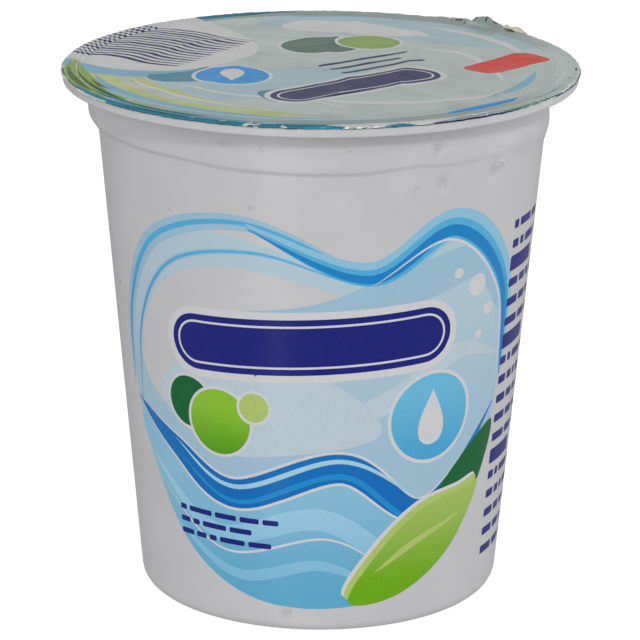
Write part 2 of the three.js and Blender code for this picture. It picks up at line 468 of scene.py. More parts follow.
# How tall the slope is there, as a share of its full height
STEP_SPREAD = (
    (-90, 1.0), (-76, 0.6), (-60, 0.3), (-30, 0.28), (32, 0.27), (46, 0.45), (62, 0.9), (180, 1.0),
    (225, 0.9),
)
STEP_MIDDLE_Z = 63.8
# How far the wall leans to the right at its top
WALL_LEAN = 0.18
# How much narrower the neck is there, which makes the step shallower
NECK_SHRINK = (
    (-90, -0.4), (-60, 0.2), (-30, 0.42), (0, 0.42), (30, 0.52), (52, 0.62), (75, 0.4), (95, 0.3), (130, 0.2),
    (180, 0.4), (240, 0.15),
)
# The height under the flange in which the neck comes back to its full width
NECK_EASE = 2.5
# Dents in the wall, as (angle, height, radius, depth)
DENTS = ((-12.6, 18.1, 1.5, 0.14), (31.4, 61.5, 1.2, 0.2), (48.6, 61.8, 1.3, 0.18), (30.0, 66.3, 0.9, 0.15),
         (-24.0, 67.0, 0.9, 0.12), (-9.8, 3.4, 1.1, 0.1), (203.0, 30.0, 3.0, 0.15), (118.0, 12.0, 1.6, 0.1))


def round_pot(table, theta):
    """The value that a table of (angle, value) gives at this angle."""
    angles, values = zip(*table)
    return float(np.interp(math.degrees(theta), angles, values, period=360))


def dented(theta, z):
    """How far the dents push the wall in at a place. Each dent has a low raised ring round it."""
    depth = 0.0
    for angle, height, radius, deep in DENTS:
        turn = math.remainder(theta - math.radians(angle), 2 * math.pi)
        away = math.hypot(turn * PRINT_R, z - height) / radius
        if away < 3:
            depth += deep * (math.exp(-away * away) - 0.3 * math.exp(-((away - 1.5) * 2.2) ** 2))
    return depth


def pot_point(theta, radius, z):
    """A place on the pot's skin, with theta from the front (-Y) towards +X."""
    under = POT_TOP - FLANGE_DEPTH
    if PRINT_TOP_Z < z < under:
        middle = STEP_MIDDLE_Z + round_pot(STEP_WANDER, theta)
        spread = round_pot(STEP_SPREAD, theta) * (NECK_FOOT_Z - BODY_TOP_Z) / 2
        moved = float(np.interp(z, (PRINT_TOP_Z, BODY_TOP_Z, NECK_FOOT_Z, under),
                                (PRINT_TOP_Z, middle - spread, middle + spread, under)))
        on_slope = min(max((z - BODY_TOP_Z) / (NECK_FOOT_Z - BODY_TOP_Z), 0.0), 1.0)
        radius += (wall_radius(moved) - wall_radius(z)) * (1 - on_slope)
        radius -= round_pot(NECK_SHRINK, theta) * on_slope * min(1.0, (under - z) / NECK_EASE)
        z = moved
    radius -= dented(theta, z) if 2.0 < z < under else 0.0
    lean = WALL_LEAN * float(np.interp(z, (0, BODY_TOP_Z, under), (0, 1, 0)))
    return np.array((radius * math.sin(theta) + lean, -radius * math.cos(theta), z))


def wall_normal(theta, z, step=0.05):
    """Which way the printed wall faces at a place."""
    here = pot_point(theta, wall_radius(z), z)
    aside = pot_point(theta + step / PRINT_R, wall_radius(z), z) - here
    above = pot_point(theta, wall_radius(z + step), z + step) - here
    normal = np.cross(aside, above)
    return normal / np.linalg.norm(normal)


def lathe_rings(outline):
    """Rings of points for an outline. A point on the axis is a ring of one."""
    rings = []
    for radius, z in outline:
        if radius < 1e-6:
            rings.append([np.array((0.0, 0.0, z))])
        else:
            thetas = [(SEAM_X + TURN * i / TURN_STEPS) / PRINT_R for i in range(TURN_STEPS)]
            rings.append([pot_point(theta, radius, z) for theta in thetas])
    return rings


def lathe_mesh(outline):
    """Points and faces of one lathed stretch of the pot, from its first ring to its last."""
    points, faces = [], []
    rings = lathe_rings(outline)
    starts = []
    for ring in rings:
        starts.append(len(points))
        points += ring
    for (a, low), (b, high) in zip(zip(starts, rings), zip(starts[1:], rings[1:])):
        for i in range(TURN_STEPS):
            j = (i + 1) % TURN_STEPS
            if len(low) == 1:
                faces.append((a, b + j, b + i))
            elif len(high) == 1:
                faces.append((a + i, a + j, b))
            else:
                faces.append((a + i, a + j, b + j, b + i))
    return points, faces


# The print on the wall

def plate(centre, length, height, tilt, face, halo):
    """A blank plate with round ends: a halo, a solid face and a thin pale line inside its edge."""
    return [
        (halo, pill(centre, length + 2.0, height + 2.0, tilt)),
        (face, pill(centre, length, height, tilt)),
        (halo, pill(centre, length - 1.7, height - 1.7, tilt)),
        (face, pill(centre, length - 2.3, height - 2.3, tilt)),
    ]


def badge(centre, radius, face, halo, tilt=0.0):
    """A round badge with a halo and a drop."""
    return [
        (halo, disc(centre, radius + 0.5)),
        (face, disc(centre, radius)),
        (halo, drop(centre, radius * 1.3, tilt)),
    ]


def beads(places, halo):
    """Overlapping round spots, each (centre, radius, ink), with halos."""
    layers = []
    for centre, radius, ink in places:
        layers += [(halo, disc(centre, radius + 0.4)), (ink, disc(centre, radius))]
    return layers


# Outlines of the panel's fields, with x from its middle and the height over the ground
POOL = (
    (-30.4, 35), (-25.5, 48), (-15, 55), (-2, 52.4), (8, 50), (18, 56.4), (26, 48.5), (28.4, 34), (25.8, 20),
    (18.5, 8.6), (8, 4.2), (-8, 4.2), (-19.5, 10), (-27.4, 22),
)
SWELL = (
    (-29.2, 27), (-21.5, 24), (-12, 19), (3, 23.5), (15, 16.6), (27.2, 27), (25.2, 18), (18.5, 8.6), (8, 4.2),
    (-8, 4.2), (-19.5, 10), (-27, 21),
)
TIDE = ((-29.8, 29), (-21.5, 24.2), (-12, 19.2), (3, 23.6), (15, 16.8), (27.6, 29))
CREST = ((-31, 30), (-29.6, 42), (-22.5, 53), (-9, 56.6), (6, 50.2), (17.4, 55.6), (27.4, 46.4), (29.2, 33))
INNER_CREST = ((-29, 27), (-27.2, 40), (-20, 50), (-8, 52.8), (4, 49))
HILL = ((4, 4.9), (9, 12.5), (15, 17.2), (21.6, 18.4), (25.4, 18.4), (20.2, 10.4), (11.6, 5.2))
FAR_HILL = ((12, 9), (16.5, 17.6), (22, 23.4), (27.8, 26.4), (26.4, 20), (20, 10))
# The rows of bars beside the panel, from the top, and which of them are one solid bar
SIDE_ROWS = 18
SIDE_TOP_Z = 53.0
SIDE_PITCH = 2.7
SOLID_ROWS = (2, 6, 12)


def wall_print():
    """The fields of ink on one panel, from the lowest layer to the highest, each (ink, outline)."""
    layers = [
        ("ice", closed_spline(POOL)),
        ("plastic", closed_spline([(-27.6, 35), (-22.6, 46), (-12, 50.6), (2, 47.6), (9, 42), (-6, 31),
                                   (-20, 28.6)])),
        ("pale", closed_spline([(-23.5, 30.6), (-20, 36), (-8, 38), (3, 34.6), (8, 28), (-4, 25.4),
                                (-14, 25)])),
        ("ice_shade", ribbon([(-14, 44), (0, 44.4), (13, 48.6), (22, 49.6), (26.6, 42)], 5.4)),
        ("pale", ribbon([(-16, 30), (-2, 28.6), (10, 33), (19, 38), (27.4, 36)], 3.0)),
        ("sky", closed_spline(SWELL)),
        ("sky_light", ribbon([(-27, 22), (-15, 13.4), (0, 16.4), (12, 10), (21.6, 13)], 3.0)),
        ("sky_light", ribbon([(-22.6, 13.4), (-12, 7.8), (0, 9.8), (9, 6.2)], 1.6)),
        ("white_ink", ribbon([(-26.4, 19.6), (-14, 11), (1, 13.6), (11, 8)], 0.35)),
        ("white_ink", ribbon(TIDE, 5.0)),
        ("deep", ribbon(TIDE, 4.2)),
        ("sky_light", ribbon([(x, z + 1.0) for x, z in TIDE[1:-1]], 0.7)),
        ("deep_pale", ribbon([(x * 0.97, z - 1.1) for x, z in TIDE[1:]], 0.8)),
        ("ice_shade", ribbon(CREST[:5], 2.6)),
        ("deep_pale", ribbon(CREST[:5], 0.75)),
        ("ice_shade", ribbon(INNER_CREST, 0.9)),
        ("deep_pale", ribbon(INNER_CREST, 0.4)),
        ("sky", ribbon(CREST[3:], 4.4)),
        ("deep_pale", ribbon([(x * 0.985, z - 0.5) for x, z in CREST[3:]], 2.9)),
        ("deep", ribbon([(x * 0.98, z - 0.7) for x, z in CREST[3:]], 1.5)),
        ("white_ink", ribbon([(x * 0.955, z - 1.9) for x, z in CREST[4:]], 0.4)),
        ("dark_green", closed_spline(FAR_HILL)),
        ("white_ink", closed_spline([(x - 0.7, z + 0.8) for x, z in HILL])),
        ("lime", closed_spline([(x - 0.3, z + 0.35) for x, z in HILL])),
        ("green", closed_spline([(x + 0.3, z - 0.4) for x, z in HILL])),
        ("lime", ribbon([(8, 8.4), (14, 12), (22, 14.8)], 1.0)),
    ]
    layers += plate((-1.5, 40.4), 38, 7.6, 0.05, "navy", "white_ink")
    layers += badge((15.5, 29.6), 6.0, "badge", "white_ink")
    layers += beads([((-18.4, 31.0), 3.5, "dark_green"), ((-13.8, 29.0), 4.5, "leaf_green"),
                     ((-8.7, 31.6), 2.0, "lime")], "white_ink")
    for row, length in enumerate((17, 13, 15)):
        layers += short_bars(-21.5, 15.6 - 1.7 * row, length, 0.75, row)
    layers += [("white_ink", disc(centre, radius)) for centre, radius in
               (((21.6, 46.6), 1.5), ((24.2, 42.8), 0.9), ((18.2, 48.8), 0.7), ((22.6, 39.6), 0.6))]
    layers += [("grit", disc(centre, radius, 8)) for centre, radius in
               (((-33.8, 43.5), 0.22), ((-8.3, 36.2), 0.17), ((30.5, 12.0), 0.15))]
    return layers


def short_bars(start, z, length, height, seed, shortest=1.2, gap=0.55):
    """A row of short plain bars of uneven widths."""
    layers = []
    x = start
    while x < start + length - shortest:
        width = min(shortest + (seed * 7 + len(layers) * 5) % 6 * gap, start + length - x)
        layers.append(("navy", pill((x + width / 2, z), width, height, radius=0.2, steps=2)))
        x += width + gap
    return layers


def side_print():
    """Rows of short bars, with a solid bar here and there, right of the panel."""
    layers = []
    for row in range(SIDE_ROWS):
        z = SIDE_TOP_Z - SIDE_PITCH * row
        if row in SOLID_ROWS:
            layers.append(("navy", pill((32.6, z), 7.8, 2.1, radius=0.3, steps=3)))
        else:
            layers += short_bars(28.8, z, 9 + (row * 5) % 4, 1.15, row)
    return layers


def weld(piece, distance=0.00002):
    """Joins the points that lie on each other."""
    work = bmesh.new()
    work.from_mesh(piece.data)
    bmesh.ops.remove_doubles(work, verts=work.verts, dist=distance)
    work.to_mesh(piece.data)
    work.free()


def set_wall_normals(piece):
    """Gives the printed wall the normals of its own form, so that the cuts round the inks don't show."""
    normals = []
    for vertex in piece.data.vertices:
        x, y, z = vertex.co / MM
        on_wall = PRINT_FOOT_Z - 0.01 < z < PRINT_TOP_Z + 0.01 and math.hypot(x, y) > FOOT_IN_R
        normals.append(wall_normal(math.atan2(x, -y), z) if on_wall else tuple(vertex.normal))
    piece.data.normals_split_custom_set_from_vertices(normals)


def pot_piece(materials):
    """The pot: its foot, its printed band and its neck as one closed skin."""
    shapes = []
    for centre in (0.0, TURN / 2):
        for ink, outline in wall_print() + side_print():
            shapes.append((ink, shifted(outline, centre)))
    rows = [PRINT_FOOT_Z + (PRINT_TOP_Z - PRINT_FOOT_Z) * j / BAND_ROWS for j in range(BAND_ROWS + 1)]
    columns = [SEAM_X + TURN * i / TURN_STEPS for i in range(TURN_STEPS + 1)]
    grid = [(x, z) for z in rows for x in columns]
    flat, triangles, covers = split_sheet(grid, [outline for _, outline in shapes])
    inks = ["plastic"] + sorted({ink for ink, _ in shapes} - {"plastic"})
    points = [pot_point(x / PRINT_R, wall_radius(z), z) for x, z in flat]
    faces = [tuple(t) for t in triangles]
    slots = [inks.index(shapes[max(c)][0]) if c else 0 for c in covers]
    for outline in (foot_outline(), neck_outline()):
        part_points, part_faces = lathe_mesh(subdivided(outline))
        faces += [tuple(k + len(points) for k in f) for f in part_faces]
        slots += [0] * len(part_faces)
        points += part_points
    piece = mesh_object("pot_skin", points, faces, slots, [materials[ink] for ink in inks])
    weld(piece)
    set_wall_normals(piece)
    return piece


# The pot's plastic and the offset inks on it
pot_materials = {
    "plastic": polystyrene("thermoformed_polystyrene", "#cecdd1", "#b2b0ae"),
    "ice": graded_ink("ice_blue_ink", "#a3c4d8", "#b7cfdc", 20, 50),
    "ice_shade": flat_ink("ice_blue_shade_ink", "#9dc0d6", "#a4c5da"),
    "pale": flat_ink("pale_ice_ink", "#c3d3dd", "#bccfda"),
    "sky": graded_ink("sky_blue_ink", "#5fadd2", "#92c5de", 4, 24),
    "sky_light": graded_ink("light_sky_ink", "#7fbfe0", "#a9d3e8", 4, 24),
    "deep": graded_ink("deep_blue_ink", "#0f6dbd", "#1f86cc", 14, 50),
    "deep_pale": graded_ink("bright_blue_ink", "#1f8fd0", "#58b2de", 34, 54),
    "white_ink": flat_ink("white_ink", "#d8d8db", "#d3d3d6"),
    "navy": flat_ink("navy_ink", "#1a2178", "#20287f"),
    "badge": graded_ink("light_blue_ink", "#47a6d6", "#6fbee0", 22, 35),
    "green": graded_ink("meadow_green_ink", "#6fae10", "#a9c464", 5, 20),
    "leaf_green": graded_ink("leaf_green_ink", "#4f9a18", "#8cc436", 23, 32),
    "dark_green": flat_ink("dark_green_ink", "#136030", "#186a38"),
    "lime": flat_ink("lime_ink", "#b7cc74", "#aec66a"),
    "grit": flat_ink("black_grit", "#4a4a4a", "#5a5a5a"),
}

pot = pot_piece(pot_materials)
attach(pot, "root")
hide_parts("pot")

# The foil lid's form

def smooth_step(low, high, value):
    """A share that eases from 0 at low to 1 at high."""
    t = min(max((value - low) / (high - low), 0.0), 1.0)
    return t * t * (3 - 2 * t)


def tab_reach(angle):
    """How far the tab runs past the lip on a ray at this angle, and 0 beside the tab."""
    across = abs(math.sin(angle - TAB_ANGLE)) * FLANGE_R
    if math.cos(angle - TAB_ANGLE) < 0 or across > TAB_WIDTH / 2:
        return 0.0
    into_corner = max(across - (TAB_WIDTH / 2 - TAB_TIP_RADIUS), 0.0)
    return TAB_LENGTH - TAB_TIP_RADIUS + math.sqrt(TAB_TIP_RADIUS ** 2 - into_corner ** 2)


def ridge(x, y, width, depth, seed):
    """Sharp-backed creases about this far apart, as foil folds."""
    level = noise.noise(Vector((x / width, y / width, seed)))
    return depth * (1 - 2 * min(abs(level), 0.5)) ** 3


def wrinkles(x, y):
    """The membrane's relief: slow swells, sharp-backed creases and a fine grain."""
    swell = 0.2 * noise.noise(Vector((x / 15, y / 15, 3.1)))
    grain = 0.016 * noise.noise(Vector((x / 1.3, y / 1.3, 5.0)))
    return swell + ridge(x, y * 0.8, 12, 0.2, 8.7) + ridge(x * 0.7, y, 6, 0.05, 2.2) + grain


def seal_rings(rho):
    """The relief of the seal's grooves at this radius."""
    return -sum(depth * math.exp(-((rho - radius) / width) ** 2) for radius, width, depth in SEAL_GROOVES)


def tab_crumple(rho, angle, off):
    """How far the crumpled crease lifts the foil along the rim at the tab."""
    crumple = 0.45 * math.exp(-((off / TAB_CREASE_SPREAD) ** 4))
    crumple += 0.8 * math.exp(-((off - TAB_PEAK) / 0.06) ** 2)
    crumple *= smooth_step(LAND_IN_R, FLANGE_R - 0.6, rho)
    jag = 0.6 - 2 * abs(noise.noise(Vector((angle * 8, rho / 5, 1.5))))
    jag += 0.7 * noise.noise(Vector((angle * 30, rho / 2, 4.5)))
    peak = max(0.0, 1 - abs(off - TAB_PEAK) / TAB_PEAK_SPREAD)
    peak *= smooth_step(FLANGE_R - 2.4, FLANGE_R - 0.4, rho)
    return TAB_CREASE_RISE * crumple * max(0.25, 0.8 + jag) + TAB_PEAK_RISE * peak


def foil_height(x, y, rho, angle, off):
    """How high the foil lies before it is bent down: sunk inside the seal, wrinkled, lifted at the tab."""
    inside = 1 - smooth_step(SEAT_R - 3, SEAT_R, rho)
    height = POT_TOP + FOIL_LIFT - FOIL_DROP * (1 - smooth_step(SEAT_R, LAND_IN_R, rho))
    height += MEMBRANE_CROWN * max(0.0, 1 - (rho / SEAT_R) ** 2) + wrinkles(x, y) * inside + seal_rings(rho)
    height += 0.05 * noise.noise(Vector((angle * 14, rho / 6, 6.1))) * smooth_step(24, 30, rho) * inside
    edge = smooth_step(-0.8, 0.3, rho - SHOULDER_R)
    return height + tab_crumple(rho, angle, off) + 0.06 * edge * noise.noise(Vector((angle * 45, 0.0, 2.5)))


def foil_point(x, y):
    """Where a point of the flat sheet lies once the lid is sealed, bent over the flange and crumpled."""
    rho, angle = math.hypot(x, y), math.atan2(y, x)
    off = math.remainder(angle - TAB_ANGLE, 2 * math.pi)
    height = foil_height(x, y, rho, angle, off)
    past = rho - SHOULDER_R
    if past <= 0:
        return np.array((x, y, height))
    beside_tab = smooth_step(0.19, 0.26, abs(off))
    slope = HANG_SLOPE + (0.06 + 0.44 * beside_tab) * noise.noise(Vector((angle * 38, 0.0, 7.7)))
    slope += 0.25 * (1 - beside_tab) * noise.noise(Vector((angle * 7, past / 9, 4.2)))
    turned = min(past / BEND_RADIUS, slope)
    straight = max(past - BEND_RADIUS * slope, 0.0)
    radius = SHOULDER_R + BEND_RADIUS * math.sin(turned) + straight * math.cos(slope)
    frill = 0.6 + noise.noise(Vector((angle * 60, past * 2, 9.1)))
    radius += 0.09 * min(1.0, past / 0.4) * frill * beside_tab
    billow = 1 + noise.noise(Vector((x / 3, y / 3, 1.9)))
    radius += 0.25 * (1 - beside_tab) * smooth_step(0.5, 4, past) * billow
    fall = BEND_RADIUS * (1 - math.cos(turned)) + straight * math.sin(slope)
    return np.array((radius * math.cos(angle), radius * math.sin(angle), height - fall))


def foil_normal(x, y, step=0.02):
    """Which way the bent foil faces at a point of the flat sheet."""
    here = foil_point(x, y)
    normal = np.cross(foil_point(x + step, y) - here, foil_point(x, y + step) - here)
    return normal / np.linalg.norm(normal)


def foil_outline():
    """The die-cut edge of the flat sheet: a round lid with its tab."""
    outline = []
    for step in range(RIM_STEPS + 1):
        angle = TAB_ANGLE + TAB_HALF_ANGLE + (2 * math.pi - 2 * TAB_HALF_ANGLE) * step / RIM_STEPS
        outline.append(LIP_EDGE_R * np.array((math.cos(angle), math.sin(angle))))
    for step in range(TAB_STEPS + 1):
        angle = TAB_ANGLE - TAB_HALF_ANGLE * math.cos(math.pi * step / TAB_STEPS) * 0.9999
        radius = LIP_EDGE_R + tab_reach(angle)
        outline.append(radius * np.array((math.cos(angle), math.sin(angle))))
    return outline


def foil_grid(cell=0.55, seal_gap=0.14, lip_gap=0.1, tab_gap=0.4):
    """Points over the flat sheet: even over the membrane, and on rings this close over the seal, the lip and
    the tab."""
    grid = []
    reach = SEAT_R - 1.0
    count = int(reach / cell)
    for i in range(-count, count + 1):
        for j in range(-count, count + 1):
            if math.hypot(i, j) * cell < reach:
                grid.append((i * cell, j * cell))
    ring = reach + 0.2
    while ring < LIP_EDGE_R - 0.05:
        for angle in np.arange(RIM_STEPS) * 2 * math.pi / RIM_STEPS:
            grid.append((ring * math.cos(angle), ring * math.sin(angle)))
        ring += seal_gap if ring < SHOULDER_R - 0.3 else lip_gap
    for i in range(1, TAB_STEPS):
        angle = TAB_ANGLE - TAB_HALF_ANGLE + 2 * TAB_HALF_ANGLE * i / TAB_STEPS
        ring = LIP_EDGE_R + 0.1
        while ring < LIP_EDGE_R + tab_reach(angle) - 0.1:
            grid.append((ring * math.cos(angle), ring * math.sin(angle)))
            ring += tab_gap
    return grid


# The print on the lid, seen from above, with x to the right and y to the back

# Strokes of ink that follow the rim, from the lowest to the highest, as (ink, first and last angle in
# degrees, radius, width) and, where a stroke keeps its width almost to its ends, how sharply it tapers
BLUNT = 0.3
RIM_STROKES = (
    ("foil_green", 176, 222, 32.5, 4.0),
    ("foil_meadow", 184, 211, 33.2, 0.9),
    ("foil_meadow", 187, 218, 32.1, 0.7),
    ("foil_meadow", 196, 222, 31.0, 0.5),
    ("foil_sky", 192, 272, 30.2, 1.8),
    ("foil_turquoise", 207, 246, 32.7, 0.9),
    ("foil_turquoise", 216, 262, 31.6, 0.5),
    ("foil_ice", 205, 290, 31.2, 1.6),
    ("foil_turquoise", 217, 275, 34.1, 1.9, BLUNT),
    ("foil_turquoise", 226, 247, 33.4, 1.1),
    ("foil_turquoise", 257, 272, 33.4, 0.9),
    ("foil_sky", 240, 262, 33.0, 0.4),
    # The thin foil_shadow strokes on the lip's edge, here and below, are painted shade where the foil turns
    # down
    ("foil_shadow", 219, 268, 34.4, 0.2, BLUNT),
    ("foil_shadow", 224, 243, 33.9, 0.16),
    ("foil_white", 271, 300, 33.9, 0.8),
    ("foil_turquoise", 283, 290, 34.2, 0.4),
    ("foil_shadow", 274, 297, 34.4, 0.2, BLUNT),
    # Painted shade: the next four thin navy and dark green strokes along the lip's edge, where the foil turns
    # down
    ("foil_navy", 294, 318, 34.3, 0.24, BLUNT),
    ("foil_dark_green", 311, 335, 34.2, 0.22, BLUNT),
    ("foil_navy", 331, 349, 34.35, 0.22, BLUNT),
    ("foil_navy", 347, 371, 34.2, 0.26, BLUNT),
    ("foil_navy", 354, 357, 33.6, 0.3),
    ("foil_navy", 347, 348.6, 33.1, 0.3),
    ("foil_turquoise", 322, 341, 33.2, 0.4),
    ("foil_white", 182, 214, 34.3, 0.5, BLUNT),
    # Painted shade: thin navy and dark green strokes along the lip's edge on the left, where the foil turns
    # down
    ("foil_navy", 184, 192, 34.0, 0.2, BLUNT),
    ("foil_dark_green", 196, 206, 34.1, 0.2, BLUNT),
    ("foil_turquoise", 203, 220, 33.9, 0.6, BLUNT),
)
# Painted shadow in the folds of the crease by the tab, as dark marks: (angle in degrees, radius, length,
# turn)
CREASE_SHADOW_MARKS = (
    (49.4, 33.0, 1.0, 0.75), (46.4, 33.2, 0.7, 1.1), (43.8, 33.3, 1.0, 2.35), (54.5, 33.1, 1.2, 2.5),
)
# The field of ripple stripes
STRIPE_MIDDLE = (-19.8, 9.4)
STRIPE_TILT = math.radians(-32)
STRIPE_PITCH = 1.3
STRIPE_COUNT = 15
STRIPE_SWAY = 0.5
STRIPE_END_R = 34.3
# How the plate and the rows of bars lean
PLATE_LEAN = math.radians(38)
BAR_LENGTHS = (15, 12, 14)
# Wear and painted glints: white flecks where the white ink has cracked, clustered as painted glints, flecks
# where the ink is gone along the lip, and specks all over
WHITE_GLINT_FLECKS = 16
BARE_FLECKS = 64
SPECKS = 46


def along_rim(start, end, radius):
    """Points along the rim between two angles in degrees, for a ribbon to follow."""
    angles = np.radians(np.linspace(start, end, 7))
    return [(radius * math.cos(a), radius * math.sin(a)) for a in angles]


def lid_place(angle, radius):
    """A place on the lid at this angle, in radians, and radius."""
    return radius * np.array((math.cos(angle), math.sin(angle)))


def lid_fields():
    """Wide soft fields of tint, under everything else."""
    return [
        ("foil_ice", closed_spline([(4, 30), (20, 24), (29, 10), (16, 12), (2, 18), (-10, 27)])),
        ("foil_white", closed_spline([(-2, 27), (8, 24), (15, 17), (6, 17.6), (-5, 22)])),
        ("foil_sky", ribbon(along_rim(58, 104, 30.4), 1.6)),
        ("foil_white", ribbon([(14, 23), (20, 19), (25, 12), (27, 5)], 1.6)),
        ("foil_pale", closed_spline([(12, 8), (20, 10), (27, 4), (29, -6), (22, -12), (17, -3)])),
        ("foil_white", ribbon([(13, 9), (19, 6.5), (22, -1), (24, -11)], 1.2)),
        ("foil_pale", closed_spline([(-2, -18), (8, -20), (18, -19), (14, -26), (2, -29), (-6, -25)])),
        ("foil_white", ribbon([(-4, -20), (6, -22.5), (16, -21), (23, -17)], 1.3)),
        ("foil_ice", closed_spline([(-20, -9), (-6, -3), (6, -4), (1, -13), (-10, -21), (-19, -19)])),
        ("foil_white", ribbon([(-19, -12), (-12, -17.6), (-3, -20.6), (4, -26)], 1.0)),
        ("foil_lime", ribbon(along_rim(156, 266, 28.6), 8.5)),
        ("foil_silver", ribbon(along_rim(186, 262, 27.2), 1.4)),
        ("foil_white", ribbon(along_rim(196, 256, 26.0), 0.7)),
        ("foil_sky", ribbon([(-34.2, 2.6), (-31.4, -2.0), (-24, -6.2), (-15.5, -6.2)], 4.0)),
    ]


def lid_spots():
    """Small fields and bands between the rim and the middle, and the white panel for the stripes."""
    panel = along_rim(122, 171, 34.4)
    panel += [(-29.6, -1.5), (-23, -4.6), (-16, -3.4), (-9, 4), (-9.4, 14), (-14, 23)]
    return [
        ("foil_turquoise", closed_spline([(-22, -6), (-15.4, -2.6), (-12.4, -7.4), (-15.6, -10.6),
                                          (-21.4, -10)])),
        ("foil_sky", closed_spline([(-27, -2), (-20, 0.6), (-16, -3.6), (-21, -6.4), (-26, -5.8)])),
        ("foil_turquoise", closed_spline([(-8, -16.6), (-3.4, -14.6), (-1.4, -19), (-5.6, -22)])),
        ("foil_badge", ribbon(along_rim(300, 324, 31.0), 1.4)),
        ("foil_sky", ribbon(along_rim(318, 352, 28.4), 1.4)),
        ("foil_turquoise", ribbon(along_rim(96, 132, 33.2), 2.0)),
        ("foil_white", closed_spline(panel)),
    ]


def ripple_stripes():
    """Wavy stripes over the white panel, out to the rim. Every third one is heavier."""
    layers = []
    ahead = np.array((math.cos(STRIPE_TILT), math.sin(STRIPE_TILT)))
    aside = np.array((-math.sin(STRIPE_TILT), math.cos(STRIPE_TILT)))
    sway = STRIPE_SWAY * aside
    for stripe in range(STRIPE_COUNT):
        middle = np.array(STRIPE_MIDDLE) + (stripe - STRIPE_COUNT // 2) * STRIPE_PITCH * aside
        lead = middle @ ahead
        to_rim = lead + math.sqrt(lead ** 2 - middle @ middle + STRIPE_END_R ** 2)
        line = [middle - to_rim * ahead, middle - 8 * ahead, middle - 2.4 * ahead + sway,
                middle + 2.4 * ahead - sway, middle + 7.2 * ahead]
        layers.append(("foil_navy", ribbon(line, 0.55 if stripe % 3 else 0.85, sharp=0.25)))
    return layers


def lid_motifs():
    """The blank plate, the badge with a drop, the discs, the red tag and the rows of bars."""
    layers = []
    for grow, ink in ((1.6, "foil_white"), (0.0, "foil_navy"), (-1.7, "foil_white"), (-2.3, "foil_navy")):
        layers.append((ink, pill((4.6, -12.6), 26 + grow, 7.2 + grow, PLATE_LEAN)))
    for radius, ink in ((5.3, "foil_white"), (4.8, "foil_badge")):
        layers.append((ink, disc((-11.5, -7.5), radius)))
    layers.append(("foil_white", drop((-11.5, -7.5), 6.2, math.pi)))
    for centre, radius, ink in (((0, 10.6), 5.4, "foil_dark_green"), ((6.5, 12.6), 4.2, "foil_green")):
        layers.append(("foil_white", disc(centre, radius + 0.5)))
        layers.append((ink, disc(centre, radius)))
    layers.append(("foil_red", pill((24.6, 0.6), 13, 6.0, math.radians(50), radius=1.6)))
    for row, length in enumerate(BAR_LENGTHS):
        along = length / 2 - 8
        x = 6 + along * math.cos(PLATE_LEAN) + 1.5 * row
        centre = (x, 2.4 + along * math.sin(PLATE_LEAN) - 1.9 * row)
        layers.append(("foil_navy", pill(centre, length, 0.8, PLATE_LEAN)))
    return layers


def lid_wear_and_glints():
    """Flecks along the lip, where the foil has cracked the ink, with the white ones clustered as painted
    glints, and fine specks.
    """
    layers = []
    dice = random.Random(11)
    # White flecks: cracked white ink, clustered as painted glints where the crinkled lip catches the light
    for _ in range(WHITE_GLINT_FLECKS):
        angle = math.radians(dice.choice((dice.gauss(256, 2.2), dice.gauss(281, 3.0))))
        place = lid_place(angle, dice.uniform(33.6, 34.5))
        size = dice.uniform(0.4, 1.2), dice.uniform(0.1, 0.24)
        layers.append(("foil_white", pill(place, *size, angle + dice.uniform(1.45, 1.7), steps=2)))
    for _ in range(BARE_FLECKS):
        cluster = dice.choice((dice.gauss(258, 3), dice.gauss(280, 2), dice.gauss(287, 2),
                               dice.gauss(305, 1.5)))
        angle = math.radians(dice.choice((cluster, dice.uniform(0, 360))))
        place = lid_place(angle, dice.uniform(SHOULDER_R - 0.2, SHOULDER_R + 0.45))
        size = dice.uniform(0.2, 0.9), dice.uniform(0.08, 0.2)
        layers.append(("foil_bare", pill(place, *size, angle + math.pi / 2, steps=2)))
    for _ in range(SPECKS):
        place = lid_place(math.radians(dice.uniform(0, 360)), dice.uniform(0, 1) ** 0.3 * 33.4)
        layers.append((dice.choice(("foil_navy", "foil_bare")), disc(place, dice.uniform(0.07, 0.15), 8)))
    return layers


def lid_print():
    """The fields of ink on the lid, from the lowest layer to the highest, each (ink, outline)."""
    strokes = [(ink, ribbon(along_rim(start, end, radius), width, *sharp))
               for ink, start, end, radius, width, *sharp in RIM_STROKES]
    # The crease marks are painted shadow in the folds by the tab
    creases = [("foil_shadow", pill(lid_place(math.radians(angle), radius), length, 0.2, turn))
               for angle, radius, length, turn in CREASE_SHADOW_MARKS]
    return lid_fields() + strokes + lid_spots() + creases + ripple_stripes() + lid_motifs() + lid_wear_and_glints()


# The tab's folded corner, as (radius, height over the flange) from its fold up and in, with where it
# starts round the lid and how far it runs, in degrees
FOLD_ROWS = ((34.12, 0.0), (34.22, 0.45), (33.95, 0.87), (33.5, 0.77), (33.1, 0.51))
FOLD_START = 34.4
FOLD_SPAN = 8.4
FOLD_STEPS = 14


